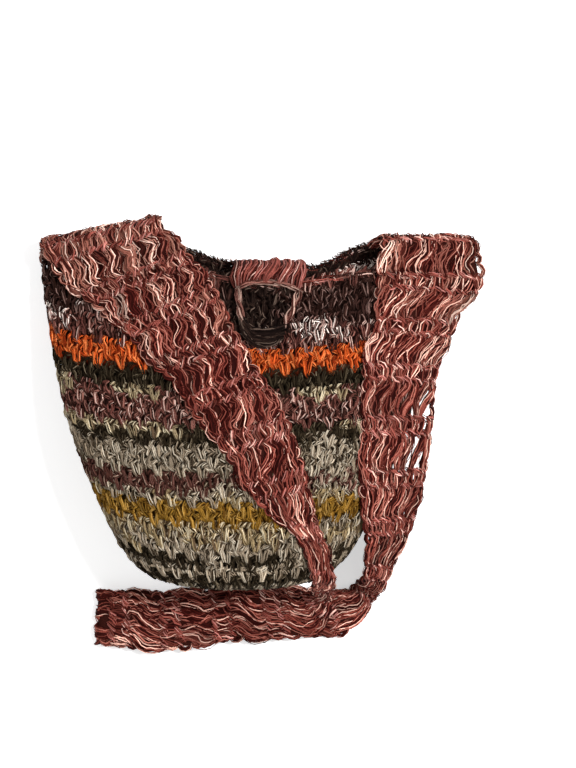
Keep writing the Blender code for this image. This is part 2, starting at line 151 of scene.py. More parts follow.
# Strands of each yarn: linear colours, with how often each comes. The pale strands are the yarns' own marled
# flecks, partly brightened into painted highlights, and the darkest strands are partly painted shade between
# the strands.
YARNS = {
    "mauve": (
        ((0.13, 0.043, 0.034), 4), ((0.24, 0.10, 0.078), 3),
        ((0.58, 0.38, 0.32), 1.8), ((0.032, 0.011, 0.008), 4),
    ),
    "charcoal": (((0.022, 0.0085, 0.006), 5), ((0.058, 0.026, 0.021), 3), ((0.22, 0.13, 0.11), 1)),
    "soot": (((0.016, 0.0105, 0.0055), 5), ((0.042, 0.031, 0.018), 3), ((0.15, 0.115, 0.075), 0.8)),
    "black": (((0.010, 0.005, 0.004), 5), ((0.029, 0.016, 0.012), 3), ((0.13, 0.088, 0.068), 0.8)),
    "tweed": (((0.055, 0.022, 0.018), 4), ((0.46, 0.28, 0.24), 3), ((1.0, 0.86, 0.78), 3)),
    "orange": (((0.64, 0.105, 0.020), 5), ((0.80, 0.21, 0.060), 3), ((0.28, 0.032, 0.006), 3)),
    "cream": (((0.34, 0.26, 0.15), 4), ((0.66, 0.56, 0.38), 3), ((0.11, 0.070, 0.040), 3)),
    "stone": (((0.30, 0.235, 0.165), 6), ((0.53, 0.455, 0.35), 3), ((0.06, 0.042, 0.026), 2.6)),
    "maroon": (((0.060, 0.022, 0.016), 5), ((0.13, 0.054, 0.042), 3), ((0.36, 0.24, 0.18), 1.5)),
    "gold": (((0.27, 0.140, 0.021), 6), ((0.40, 0.23, 0.055), 3), ((0.12, 0.054, 0.007), 3)),
    "tan": (((0.33, 0.24, 0.125), 5), ((0.62, 0.52, 0.35), 3), ((0.11, 0.068, 0.036), 3)),
    "dusty_red": (
        ((0.060, 0.008, 0.006), 3.6), ((0.23, 0.052, 0.037), 4),
        ((0.42, 0.142, 0.105), 2.6), ((1.0, 0.58, 0.46), 1.6),
    ),
    "faded_red": (
        ((0.085, 0.017, 0.012), 3), ((0.33, 0.115, 0.082), 4),
        ((0.56, 0.26, 0.195), 3), ((1.0, 0.68, 0.56), 2.2),
    ),
    "brick": (
        ((0.080, 0.013, 0.009), 3), ((0.31, 0.080, 0.061), 5),
        ((0.52, 0.20, 0.17), 2), ((0.95, 0.58, 0.49), 0.7),
    ),
    "rose": (((0.66, 0.42, 0.34), 3), ((0.27, 0.115, 0.09), 3), ((0.07, 0.02, 0.015), 3)),
}
# Stripes from the rim to the base: yarn, rounds, and the share of stitches in the next yarn named
STRIPES = (
    ("mauve", 1, 0, ""), ("charcoal", 3, 0.05, "tweed"), ("tweed", 1, 0.3, "charcoal"),
    ("tweed", 1, 0.3, "mauve"), ("mauve", 1, 0, ""), ("orange", 2, 0, ""), ("soot", 2, 0, ""),
    ("cream", 1, 0.2, "mauve"), ("mauve", 3, 0.05, "cream"), ("cream", 1, 0.4, "soot"),
    ("soot", 1, 0.2, "stone"), ("stone", 3, 0, ""), ("maroon", 1, 0.12, "stone"),
    ("maroon", 1, 0.35, "stone"), ("stone", 1, 0.15, "tan"), ("gold", 2, 0, ""), ("tan", 2, 0.2, "stone"),
    ("stone", 1, 0.1, "tan"), ("soot", 1, 0.15, "stone"), ("stone", 1, 0, ""), ("soot", 1, 0, ""),
    ("stone", 3, 0.1, "soot"), ("mauve", 3, 0, ""), ("soot", 9, 0, ""),
)
BEHIND_LOOP = (-0.026, 0.026)  # x of the stitches behind the closing loop
SHADED_ROUNDS = 5  # rounds from the rim painted black there, as the loop's shadow, and inside the mouth, as painted shade
PALE_INSIDE = 0.055  # x from which the yarn inside the mouth is pale
PALE_FROM_ROUND = 2

# Strands of any yarn
STRAND = 0.45 * MM  # half thickness
STRAND_CORNERS = (-1.9, 0.0, 1.9)  # angles of a strand's profile, which is open towards the yarn's middle
STRAND_END = 0.55  # thickness at the ends, as a share
STRAND_VARIES = 0.25  # most that a strand is thicker or thinner
TAPER = 0.25  # share of a yarn's length over which each end tapers
BLUNTNESS = 0.7  # power of the taper: less is blunter
END_SHADE = 0.5  # painted shade where a yarn dives into the fabric: its colour there, as a share
CORE_SHADE = 0.5  # painted shade deep between the strands: colour of a yarn's core, as a share of the darkest of them
CORE_WIDTH = 1.25  # width of a yarn's core, as a share of what the strands leave
BRIGHTNESS = (0.5, 1.6)  # least and most
OUTWARD = (0, 1)  # which half of a yarn's outline has strands
INWARD = (-1, 0)
ALL_ROUND = (-1, 1)

# Crochet stitches of the bag: places down in rounds and out in millimetres, and heights in millimetres
STITCHES = 36
ROUND_MM = 9.3  # height of a round
FIRST_ROUND = 0.35  # middle of the first round, from the rim
HIDDEN_FROM = 0.30  # share of the round from the front's middle at which the fabric faces down
CROWDED = 18  # stitches closer together than this shrink
STRAY = (0.05, 0.4, 0.3)  # how far a yarn's points stray down, out and in height
SIZE_STRAYS = (0.10, 0.75, 1.3)  # spread, least and most of a yarn's size
YARN_FLATNESS = 0.9  # thickness of a yarn, as a share of its width
COARSE = 1.6  # strands out of sight are half as many, and this much thicker
LEG = ((-0.52, -0.20, 0.15, 0.58, 1.02), (3.5, 3.1, 2.4, 1.6, 0.5), (-1.2, 0.6, 1.3, 1.3, -1.2))
LEG_SIZE = 1.6  # half thickness of a V's leg
LEG_LEAN = (0.5, 0.7)  # how far a V leans aside for each round down, and the spread of that
LEAN_ABOUT = 0.2  # place down about which it leans
# Short yarns between the Vs: places down, which way they slope, and shares of the way from V to V
FILLING = ((-0.60, 1, (0.05, 0.27, 0.50, 0.73, 0.95)), (-0.12, -1, (0.16, 0.39, 0.62, 0.85)))
FILLING_HALF = 3.4  # half length of one
FILLING_SIZE = 1.45  # half thickness
FILLING_SLOPE = (0.85, 0.28)  # in radians, and its spread
FILLING_HEIGHTS = (-1.5, 0.6, 0.7, -1.5)
# Long yarns over the edge of the mouth: places down, and heights
RIM_YARNS = (
    ((0.42, 0.20, 0.02, -0.06), (0.2, 0.9, 0.7, -0.9)),
    ((-0.08, -0.04, 0.10, 0.32), (-1.2, -2.6, -4.4, -5.6)),
)
RIM_REACH = (-1.2, -0.4, 0.4, 1.2)  # aside, as shares of the way from one to the next
RIM_HALF = (2.2 * MM, 1.8 * MM)
RED_RIM = (0.02, 0.07)  # x of the red ones, next to the closing loop
BANDS = (
    ("bag_rounds_rim", 0, 8), ("bag_rounds_upper", 8, 16), ("bag_rounds_lower", 16, 24),
    ("bag_rounds_base", 24, 40),
)
SHADE_SHEET_DEPTH = 2.8 * MM  # of the surface behind the stitches, dark as painted shade
SHADE_SHEET_STEP = 0.5
SHADE_SHEET_COLUMNS = 120
INNER_LIGHTER = 2  # colour of the inner wall, also painted shade, as a share of that surface's
INSIDE_ROUNDS = 6  # rounds of stitches inside the mouth

# Crochet stitches of the strap, in metres. A stitch has places down its row as shares of it, and places
# aside and a spread of its parts as shares of a stitch, and strands on its upper and its lower face.
POST_PITCH = 0.0103
POST_COUNT = (5, 10)  # fewest and most stitches across
TALL_POST = {
    "height": 0.0330,
    "down": (-0.05, 0.14, 0.34, 0.54, 0.74, 0.93, 1.05),
    "aside": (0.22, 0.50, 0.46, 0.05, -0.42, -0.50, -0.30),
    "parts": (0,),
    "spread": 0,
    "size": 0.50,
    "strands": (14, 3),
    "segments": 11,
}
SHORT_POST = {
    "height": 0.0120,
    "down": (-0.15, 0.12, 0.5, 0.88, 1.15),
    "aside": (0.10, 0.05, 0.0, -0.05, -0.10),
    "parts": (-1, 1),
    "spread": (0.06, 0.14, 0.24, 0.30, 0.26),
    "size": 0.28,
    "strands": (6, 1),
    "segments": 5,
}
POST_ARCH = (1.1, 0.6)  # rise of a stitch's middle and drop of the whole, in millimetres
POST_RANGE = (1.2 * MM, 5.2 * MM)  # least and most half width
POST_THICK = 2.3 * MM
ROW_STRAYS = 0.0012
POST_STYLE = {"core": 4, "twist": 0.5, "loose": 0.8 * MM, "mess": 0.22, "end_size": 0.6}
UPPER_ARC = (0.04, 0.96)
LOWER_ARC = (-0.85, -0.15)
FACES_DOWN = -0.2  # z of a normal below which a face of the strap is the lower one
STRAP_VARIETY = 0.2
# Yarns where two rows meet: down, aside as shares of the way from one to the next, and up in millimetres
CROSSING = ((0.0030, 0.0014, -0.0014, -0.0030), (-0.7, -0.4, 0.4, 0.7), (-1.2, 1.0, 1.0, -1.2))
CROSSING_HALF = (1.7 * MM, 2.2 * MM)
CROSSING_STRANDS = (4, 1)
CROSSING_STYLE = {"segments": 4, "twist": 1.2, "loose": 0.4 * MM, "mess": 0.25}
# Loops along the edges: down as shares of a loop, in from the edge and up in millimetres
EDGE = ((-0.5, -0.45, 0.0, 0.45, 0.5), (4.6, 1.8, -0.4, 1.8, 4.6), (-1.4, -0.4, 0.4, 0.2, -0.6))
EDGE_LOOP = 0.0095  # length of a loop
EDGE_HALF = 1.9 * MM
EDGE_STRANDS = 6
FIRST_ROW = 0.011  # start of the first row, along the strap
POSTS_FROM = 0.035  # share of the width that the edge loops take
FADED = ((0.06, 0.85), (0.19, 0.0), (1.18, 0.0), (1.28, 0.45))  # share of faded yarn, along the strap
LOOSE = (1.05, 1.16)  # along the strap, where its outer half is so loose that the floor shows through
LOOSE_SIDE = 0.45  # share of the width from which it is loose
LOOSENESS = 0.62  # width of the yarn there, as a share
BACKED = ((0.02, 0.68), (0.68, LOOSE[0]), (LOOSE[1], 1.335))  # along the strap, where the fabric is dense
# the sheet stands for the dense fabric behind the strap's stitches; its dark colour is painted shade
SHADE_BACKING_COLOUR = (0.030, 0.006, 0.004)
BACKING_STEP = 0.004
BACKING_ACROSS = (0.05, 0.95, 25)  # first and last place across, and how many

# Yarns of the closing loop: rows down it, aside as shares of the way from one to the next, and heights
WRAPS = 12
WRAP = (
    (0.4, 1.2, 1.9, 2.5, 3.0, 3.5, 4.0),
    (0.4, 0.8, 1.2, 1.2, 0.6, -0.3, -0.6),
    (-0.5, 0.2, 0.5, 0.6, 0.6, 0.3, -0.8),
)
WRAP_HALF = (3.2 * MM, 2.4 * MM)
# Cords along it: rows down it and places across it, half thickness in millimetres, and how far they sway
CORDS = (
    (((4.15, 0.0), (4.0, 0.25), (3.95, 0.5), (4.0, 0.75), (4.15, 1.0)), 1.35, (0.07, 0.0)),
    (((4.0, 0.06), (5.0, 0.08), (6.0, 0.09), (7.0, 0.09)), 1.6, (0.0, 0.05)),
    (((4.0, 0.94), (5.0, 0.91), (6.0, 0.91), (7.2, 0.91)), 1.6, (0.0, 0.05)),
)
CORD_YARNS = 2
BAND_HALF = 2.1  # half thickness of the cords of the dark band
BAND_SWAY = (0.08, 0.0)
FIBRE_TONES = ((0.35, (0.45, 0.42, 0.40, 1)), (0.65, (1.25, 1.25, 1.25, 1)))  # of a yarn's fine fibres

# Camera and light
CAMERA_AT = (0.0215, 0.044, 1.6)
FLOOR_MM_PER_PIXEL = 0.88
PHOTO_HEIGHT = 768
FLOOR_REACH = 6.0
FLOOR_COLOUR = (0.93, 0.93, 0.93, 1)
FLOOR_GLOW = 0.5  # brings the floor up to white where it is seen, and puts no light on the bag
SKY = 0.42  # strength of the light from all round
# Area lights: name, place, watts and size
LIGHTS = (("key", (0.8, 0.3, 1.6), 33, 0.3), ("fill", (-1.2, 0.4, 1.4), 7, 1.2))
LIGHTS_FACE = (0, 0, 0.05)

random = np.random.default_rng(SEED)


def smooth(before, start, end, after, t):
    """Points at t from 0 to 1 between start and end, on a smooth curve through all four."""
    return 0.5 * (2 * start + (end - before) * t + (2 * before - 5 * start + 4 * end - after) * t ** 2
                  + (3 * start - before - 3 * end + after) * t ** 3)


def curve_through(points, per_piece):
    """Smooth curve through rows of numbers, with per_piece[i] steps from row i to the next."""
    rows = np.asarray(points, float)
    padded = np.concatenate([2 * rows[:1] - rows[1:2], rows, 2 * rows[-1:] - rows[-2:-1]])
    result = []
    for i, steps in enumerate(per_piece):
        for t in np.arange(steps) / steps:
            result.append(smooth(*padded[i:i + 4], t))
    result.append(rows[-1])
    return np.array(result)


def unit(vectors):
    """Vectors at length one."""
    return vectors / np.maximum(np.linalg.norm(vectors, axis=-1, keepdims=True), 1e-9)


class Fabric:
    """A surface of points in rows and columns that yarn is laid on, closed round or with two edges."""

    def __init__(self, points, first_row, row_step, closed):
        self.points = points
        self.first_row = first_row
        self.row_step = row_step
        self.closed = closed
        grid = np.concatenate([points[:, -1:], points, points[:, :1]], axis=1) if closed else points
        along = np.gradient(grid, axis=0)
        across = np.gradient(grid, axis=1)
        normals = unit(np.cross(across, along) if closed else np.cross(along, across))
        self.normals = normals[:, 1:-1] if closed else normals

    def at(self, row, column, height):
        """Points at rows, at columns from 0 to 1, at heights."""
        lines, count = self.points.shape[:2]
        r = np.clip((row - self.first_row) / self.row_step, 0, lines - 1.001)
        i = r.astype(int)
        u = (r - i)[..., None]
        if self.closed:
            c = (column % 1.0) * count
            j = c.astype(int) % count
            k = (j + 1) % count
        else:
            c = column * (count - 1)
            j = np.clip(c.astype(int), 0, count - 2)
            k = j + 1
        w = (c - (np.floor(c) if self.closed else j))[..., None]

        def between(grid):
            low = grid[i, j] * (1 - u) + grid[i + 1, j] * u
            return low * (1 - w) + (grid[i, k] * (1 - u) + grid[i + 1, k] * u) * w

        normal = unit(between(self.normals))
        return between(self.points) + normal * height[..., None], normal


class Knit:
    """Yarns that become one mesh."""

    def __init__(self):
        self.vertices = []
        self.faces = []
        self.colours = []
        self.count = 0

    def lay(self, fabric, paths, half_width, half_thick, colours, segments=4, twist=0.8, arc=(0.1, 0.9),
            core=0, strand=STRAND, loose=0.25 * MM, mess=0.2, end_size=0.5):
        """Adds yarns along paths of (row, column, height), with a colour for each strand of each yarn.

        The strands lie over the part of the yarn's outline given by arc, where 0 to 1 is its outward half
        and -1 to 1 is all round, and round a core if that has corners, which is painted shade. They turn
        by twist, in radians, stand off by loose and stray by mess.
        """
        number, controls = paths.shape[:2]
        count = colours.shape[1]
        steps = np.linspace(0, controls - 1, segments + 1)
        curve = self.spline(paths, steps)
        point, normal = fabric.at(curve[..., 0], curve[..., 1], curve[..., 2])
        tangent = unit(np.gradient(point, axis=1))
        side = unit(np.cross(tangent, normal))
        up = np.cross(side, tangent)
        share = steps / steps[-1]
        near_end = np.clip(np.minimum(share, 1 - share) / TAPER, 0, 1)
        size = end_size + (1 - end_size) * near_end ** BLUNTNESS
        # painted shade: each yarn darkens towards its ends, where it dives under the others
        shade = END_SHADE + (1 - END_SHADE) * near_end
        width = np.broadcast_to(half_width, (number,))
        thick = np.broadcast_to(half_thick, (number,))
        if core:
            turn = (np.arange(core) + 0.5) * 2 * np.pi / core
            wide = (CORE_WIDTH * (width - strand)[:, None] * size)[:, :, None] * np.cos(turn)
            high = ((thick - strand)[:, None] * size)[:, :, None] * np.sin(turn)
            rings = point[:, :, None] + side[:, :, None] * wide[..., None] + up[:, :, None] * high[..., None]
            # painted shade: the core takes the darkest strand colour, darkened by CORE_SHADE, for the deep
            # gaps
            dark = colours.min(axis=1) * CORE_SHADE
            self.add(rings, np.broadcast_to(dark[:, None, None], rings.shape))
        first = arc[0] + (arc[1] - arc[0]) * (np.arange(count) + 0.5) / count
        wander = np.cumsum(random.normal(0, mess, (number, count, len(share))), axis=2)
        turn = np.pi * first[None, :, None] + twist * (share - 0.5) + wander
        lift = loose * np.abs(random.normal(0, 1, (number, count, 1))) * np.sin(np.pi * share)
        reach = size * (1 + random.normal(0, mess / 2, (number, count, len(share))))
        out = np.cos(turn) * (reach * (width - strand / 2)[:, None, None] + lift)
        rise = np.sin(turn) * (reach * (thick - strand / 2)[:, None, None] + lift)
        centre = point[:, None] + side[:, None] * out[..., None] + up[:, None] * rise[..., None]
        varied = random.uniform(1 - STRAND_VARIES, 1 + STRAND_VARIES, (number, count, 1))
        radius = (strand * (STRAND_END + (1 - STRAND_END) * near_end) * varied)[..., None]
        corner = turn[..., None] + np.array(STRAND_CORNERS)
        rings = (centre[:, :, :, None] + (np.cos(corner) * radius)[..., None] * side[:, None, :, None]
                 + (np.sin(corner) * radius)[..., None] * up[:, None, :, None])
        tint = colours[:, :, None, None] * shade[None, None, :, None, None]
        shape = (number * count, len(share), 3, 3)
        self.add(rings.reshape(shape), np.broadcast_to(tint, rings.shape).reshape(shape), False)

    @staticmethod
    def spline(paths, steps):
        """Smooth curve through each path's points."""
        first = 2 * paths[:, :1] - paths[:, 1:2]
        last = 2 * paths[:, -1:] - paths[:, -2:-1]
        padded = np.concatenate([first, paths, last], axis=1)
        i = np.minimum(steps.astype(int), paths.shape[1] - 2)
        return smooth(*(padded[:, i + k] for k in range(4)), (steps - i)[None, :, None])

    def add(self, ring, tint, closed=True):
        """Adds tubes, or open gutters, from rings of points as (yarn, ring, corner, xyz), and colours."""
        number, rings, corners = ring.shape[:3]
        first = self.count + np.arange(number)[:, None, None] * rings * corners
        row = np.arange(rings - 1)[None, :, None] * corners
        i = np.arange(corners if closed else corners - 1)[None, None, :]
        j = (i + 1) % corners
        a, b = first + row + i, first + row + j
        self.faces.append(np.stack([a, a + corners, b + corners, b], axis=-1).reshape(-1, 4))
        self.vertices.append(ring.reshape(-1, 3))
        self.colours.append(tint.reshape(-1, 3))
        self.count += number * rings * corners

    def sheet(self, points, tint, closed):
        """Adds a surface from points as (row, column, xyz), and their colours."""
        self.faces.append(grid_faces(*points.shape[:2], closed) + self.count)
        self.vertices.append(points.reshape(-1, 3))
        self.colours.append(np.broadcast_to(tint, points.shape).reshape(-1, 3))
        self.count += points.shape[0] * points.shape[1]

    def piece(self, name, material, node, slot):
        """Object made of the yarns, which stands for a CAD node."""
        vertices = np.concatenate(self.vertices)
        vertices[:, 2] = np.maximum(vertices[:, 2], FLOOR_GAP)
        mesh = mesh_of(name, vertices, np.concatenate(self.faces))
        colours = np.ones((len(vertices), 4), np.float32)
        colours[:, :3] = np.concatenate(self.colours)
        mesh.color_attributes.new("yarn", "FLOAT_COLOR", "POINT")
        mesh.color_attributes["yarn"].data.foreach_set("color", colours.ravel())
        mesh.materials.append(material)
        piece = new_object(name, mesh)
        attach(piece, "root")
        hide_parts(node)


def new_object(name, data):
    """Object in the scene."""
    made = bpy.data.objects.new(name, data)
    bpy.context.scene.collection.objects.link(made)
    return made


def mesh_of(name, vertices, faces):
    """Smooth mesh of four-cornered faces."""
    mesh = bpy.data.meshes.new(name)
    mesh.vertices.add(len(vertices))
    mesh.vertices.foreach_set("co", np.asarray(vertices, np.float32).ravel())
    mesh.loops.add(len(faces) * 4)
    mesh.loops.foreach_set("vertex_index", np.asarray(faces, np.int32).ravel())
    mesh.polygons.add(len(faces))
    mesh.polygons.foreach_set("loop_start", np.arange(0, len(faces) * 4, 4, dtype=np.int32))
    mesh.update(calc_edges=True)
    mesh.validate()
    mesh.shade_smooth()
    return mesh


def paths_of(rows, columns, heights):
    """Paths of (row, column, height)."""
    return np.stack(np.broadcast_arrays(rows, columns, heights), axis=-1)


def strand_colours(names, strands, variety=0.16):
    """A colour for each strand of each yarn named."""
    result = np.zeros((len(names), strands, 3))
    names = np.asarray(names)
    for name in np.unique(names):
        palette = YARNS[name]
        weights = np.array([weight for _, weight in palette], float)
        chosen = np.flatnonzero(names == name)
        picks = random.choice(len(palette), (len(chosen), strands), p=weights / weights.sum())
        result[chosen] = np.array([colour for colour, _ in palette])[picks]
    bright = random.normal(1, variety, (len(names), 1, 1))
    bright = bright * random.normal(1, variety / 2, (len(names), strands, 1))
    return result * np.clip(bright, *BRIGHTNESS)


# Surfaces

def station(round_number):
    """Side y, half width, height and lean of a round of the wall, on a smooth curve through the stations."""
    table = np.array(BAG_STATIONS)
    slopes = np.gradient(table[:, 1:], table[:, 0], axis=0)
    i = int(np.clip(np.searchsorted(table[:, 0], round_number) - 1, 0, len(table) - 2))
    span = table[i + 1, 0] - table[i, 0]
    t = (round_number - table[i, 0]) / span
    return ((1 + 2 * t) * (1 - t) ** 2 * table[i, 1:] + t * (1 - t) ** 2 * span * slopes[i]
            + t * t * (3 - 2 * t) * table[i + 1, 1:] + t * t * (t - 1) * span * slopes[i + 1])


def ring(round_number, count, inset):
    """Points round the bag at a round, equally spaced, starting under the middle of the back."""
    side_y, half, height, lean = station(min(round_number, ROUNDS))
    lift = BASE_LIFT * np.interp(round_number, (LIFT_FROM, ROUNDS), (0, 1)) ** 2
    share = 1.0
    if round_number > ROUNDS:
        share = (ROUNDS + BASE_ROUNDS - round_number) / BASE_ROUNDS
        side_y -= BASE_BULGE * (1 - share * share)
    turn = np.interp(round_number, (ROUNDS - EDGE_TURN, ROUNDS + EDGE_TURN), (0, np.pi / 2))
    side_in, end_in = inset * np.cos(turn), inset * np.sin(turn)
    middle = lift + WIDEST * (height - lift)
    half = half * share - side_in
    above = (height - middle) * share - side_in
    below = (middle - lift + BACK_PRESS) * share - side_in
    back_power = np.interp(round_number, *zip(*BACK_POWERS))
    angle = np.linspace(-np.pi / 2, 1.5 * np.pi, OUTLINE_POINTS)
    cos, sin = np.cos(angle), np.sin(angle)
    power = np.where(sin > 0, 2 / FRONT_POWER, 2 / back_power)
    x = AXIS_X + half * np.sign(cos) * np.abs(cos) ** power
    z = middle + np.where(sin > 0, above, below) * np.sign(sin) * np.abs(sin) ** power
    z = np.maximum(z, inset)
    front = np.clip((z - lift) / (height - lift), 0, 1)
    sag = (1 - front) * np.interp(x, *zip(*SAG_BACK)) + front * np.interp(x, *zip(*SAG_FRONT))
    sag *= np.interp(round_number, *zip(*SAG_FADE))
    y = side_y + end_in - lean * (z - middle) - sag
    length = np.concatenate([[0], np.cumsum(np.hypot(np.diff(x), np.diff(z)))])
    at = np.arange(count) / count * length[-1]
    return np.stack([np.interp(at, length, values) for values in (x, y, z)], axis=1)


def bag_fabric():
    """Outside of the bag, from above the rim to the middle of the base."""
    rows = np.arange(-1.0, ROUNDS + BASE_ROUNDS - 0.3, FABRIC_STEP)
    points = np.array([ring(v, FABRIC_COLUMNS, 0.0) for v in rows])
    return Fabric(points, rows[0], FABRIC_STEP, True)


class Drape:
    """Height at which a soft band rests over the bag: never steeper than SLOPE, rounded over edges."""

    CELL = 0.003
    SLOPE = 1.7
    ROUNDING = 0.010
    REACH = 0.048
    X_RANGE = (-0.225, 0.235)
    Y_RANGE = (-0.215, 0.215)

    def __init__(self):
        rings = np.array([ring(v, 96, 0) for v in np.arange(0, ROUNDS + BASE_ROUNDS - 0.2, 0.5)])
        faces = grid_faces(*rings.shape[:2], True).tolist()
        tree = BVHTree.FromPolygons([Vector(v) for v in rings.reshape(-1, 3)], faces)
        self.x = np.arange(self.X_RANGE[0], self.X_RANGE[1], self.CELL)
        self.y = np.arange(self.Y_RANGE[0], self.Y_RANGE[1], self.CELL)
        bare = np.zeros((len(self.x), len(self.y)))
        for i, x in enumerate(self.x):
            for j, y in enumerate(self.y):
                hit = tree.ray_cast(Vector((x, y, 1)), Vector((0, 0, -1)))[0]
                bare[i, j] = hit.z if hit else 0
        self.height = self.spread(bare)

    def spread(self, bare):
        """Raises the surface round each high point along a cone with a round tip."""
        reach = int(self.REACH / self.CELL)
        padded = np.pad(bare, reach)
        result = bare.copy()
        for i in range(-reach, reach + 1):
            for j in range(-reach, reach + 1):
                distance = np.hypot(i, j) * self.CELL
                drop = self.SLOPE * (np.hypot(distance, self.ROUNDING) - self.ROUNDING)
                part = padded[reach + i:reach + i + len(self.x), reach + j:reach + j + len(self.y)]
                result = np.maximum(result, part - drop)
        return result

    def at(self, x, y):
        """Height and steepness factor at points."""
        fx = np.clip((x - self.x[0]) / self.CELL, 0, len(self.x) - 1.001)
        fy = np.clip((y - self.y[0]) / self.CELL, 0, len(self.y) - 1.001)
        i, j = fx.astype(int), fy.astype(int)
        u, w = fx - i, fy - j
        h = self.height
        low = h[i, j] * (1 - u) + h[i + 1, j] * u
        high = h[i, j + 1] * (1 - u) + h[i + 1, j + 1] * u
        across = (h[i + 1, j] - h[i, j]) / self.CELL
        along = (h[i, j + 1] - h[i, j]) / self.CELL
        return low * (1 - w) + high * w, np.sqrt(1 + across ** 2 + along ** 2)


def grid_faces(rows, columns, closed):
    """Faces of a grid of points."""
    i = np.arange(rows - 1)[:, None] * columns
    j = np.arange(columns if closed else columns - 1)[None, :]
    k = (j + 1) % columns
    return np.stack([i + j, i + columns + j, i + columns + k, i + k], axis=-1).reshape(-1, 4)


def rim_points(x):
    """Points on the edge of the back of the rim at given x, half way through the wall."""
    edge = ring(0, 96, WALL / 2)
    lower = edge[edge[:, 2] < RIM_HEIGHT / 2]
    lower = lower[np.argsort(lower[:, 0])]
    y, z = (np.interp(x, lower[:, 0], lower[:, axis]) for axis in (1, 2))
    return np.stack([x, y, z], axis=1)


def resting_height(drape, x, y):
    """Height of the strap's middle surface where it lies on the bag or beside it."""
    height, steep = drape.at(x, y)
    return np.maximum(height + (CLEAR + STRAP_THICK / 2) * steep, LOW * MM)


def strap_fabric(drape):
    """Middle surface of the strap, from its left end to its right end."""
    tables = ((LEFT_FOLD, 0), (LEFT_FRONT, 1), (DOUBLED, 0), (RIGHT_FRONT, 1), (RIGHT_FOLD, 0))
    stations = []
    for table, draped in tables:
        for ax, ay, bx, by, *heights in table:
            az, bz = heights or (0, 0)
            stations.append((ax, ay, az, bx, by, bz, draped / MM))
    left, right = (rim_points(np.array(root)).ravel() / MM for root in (LEFT_ROOT, RIGHT_ROOT))
    table = np.array([(*left, 0), *stations, (*right, 0)]) * MM
    draped = table[:, 6] > 0
    for edge in (0, 3):
        rest = resting_height(drape, table[:, edge], table[:, edge + 1])
        table[draped, edge + 2] = np.maximum(rest, table[:, edge + 2])[draped]
    spans = np.linalg.norm(np.diff((table[:, :3] + table[:, 3:6]) / 2, axis=0), axis=1)
    rows = curve_through(table, [2 * max(1, round(span / STRAP_ROW)) for span in spans])
    across = np.linspace(0, 1, STRAP_COLUMNS + 1)[None, :, None]
    grid = rows[:, None, :3] * (1 - across) + rows[:, None, 3:6] * across
    share = np.clip(rows[:, 6], 0, 1)[:, None]
    rest = resting_height(drape, grid[:, :, 0], grid[:, :, 1])
    grid[:, :, 2] += share * np.maximum(rest - grid[:, :, 2], 0)
    grid[:, :, 2] = np.maximum(grid[:, :, 2], LOW * MM)
    return even_rows(grid, STRAP_ROW / 2)


def even_rows(grid, pitch):
    """The same surface with its rows equally far apart along its middle."""
    middle = grid[:, grid.shape[1] // 2]
    length = np.concatenate([[0], np.cumsum(np.linalg.norm(np.diff(middle, axis=0), axis=1))])
    count = int(round(length[-1] / pitch))
    at = np.linspace(0, length[-1], count + 1)
    flat = grid.reshape(len(grid), -1)
    even = np.stack([np.interp(at, length, column) for column in flat.T], axis=1)
    return Fabric(even.reshape(count + 1, *grid.shape[1:]), 0.0, length[-1] / count, False)


def loop_fabric(drape):
    """Middle surface of the closing loop, from its root on the back of the rim to its end."""
    rows = [rim_points(np.linspace(*LOOP_ROOT, 5))] + [np.array(row) * MM for row in LOOP_TOP]
    for row in LOOP_LOW:
        plan = np.array(row) * MM
        height, steep = drape.at(plan[:, 0], plan[:, 1])
        rows.append(np.column_stack([plan, height + (CLEAR + LOOP_THICK / 2) * steep]))
    fine = curve_through(rows, [4] * (len(rows) - 1))
    return Fabric(fine, 0.0, 0.25, False)


# Bag

def stripe_at(round_number):
    """Yarn of a round, the share of its stitches in another yarn, and that yarn."""
    ends = np.cumsum([rounds for _, rounds, _, _ in STRIPES])
    yarn, _, share, other = STRIPES[np.searchsorted(ends, round_number, side="right")]
    return yarn, share, other


def round_length(fabric, round_number):
    """Length of a round of the bag."""
    line = fabric.points[int(round((round_number - fabric.first_row) / fabric.row_step))]
    return np.linalg.norm(line - np.roll(line, 1, axis=0), axis=1).sum()


def stitch_yarns(round_number, count):
    """Name of each stitch's yarn in a round."""
    yarn, share, other = stripe_at(round_number)
    return [other if random.random() < share else yarn for _ in range(count)]


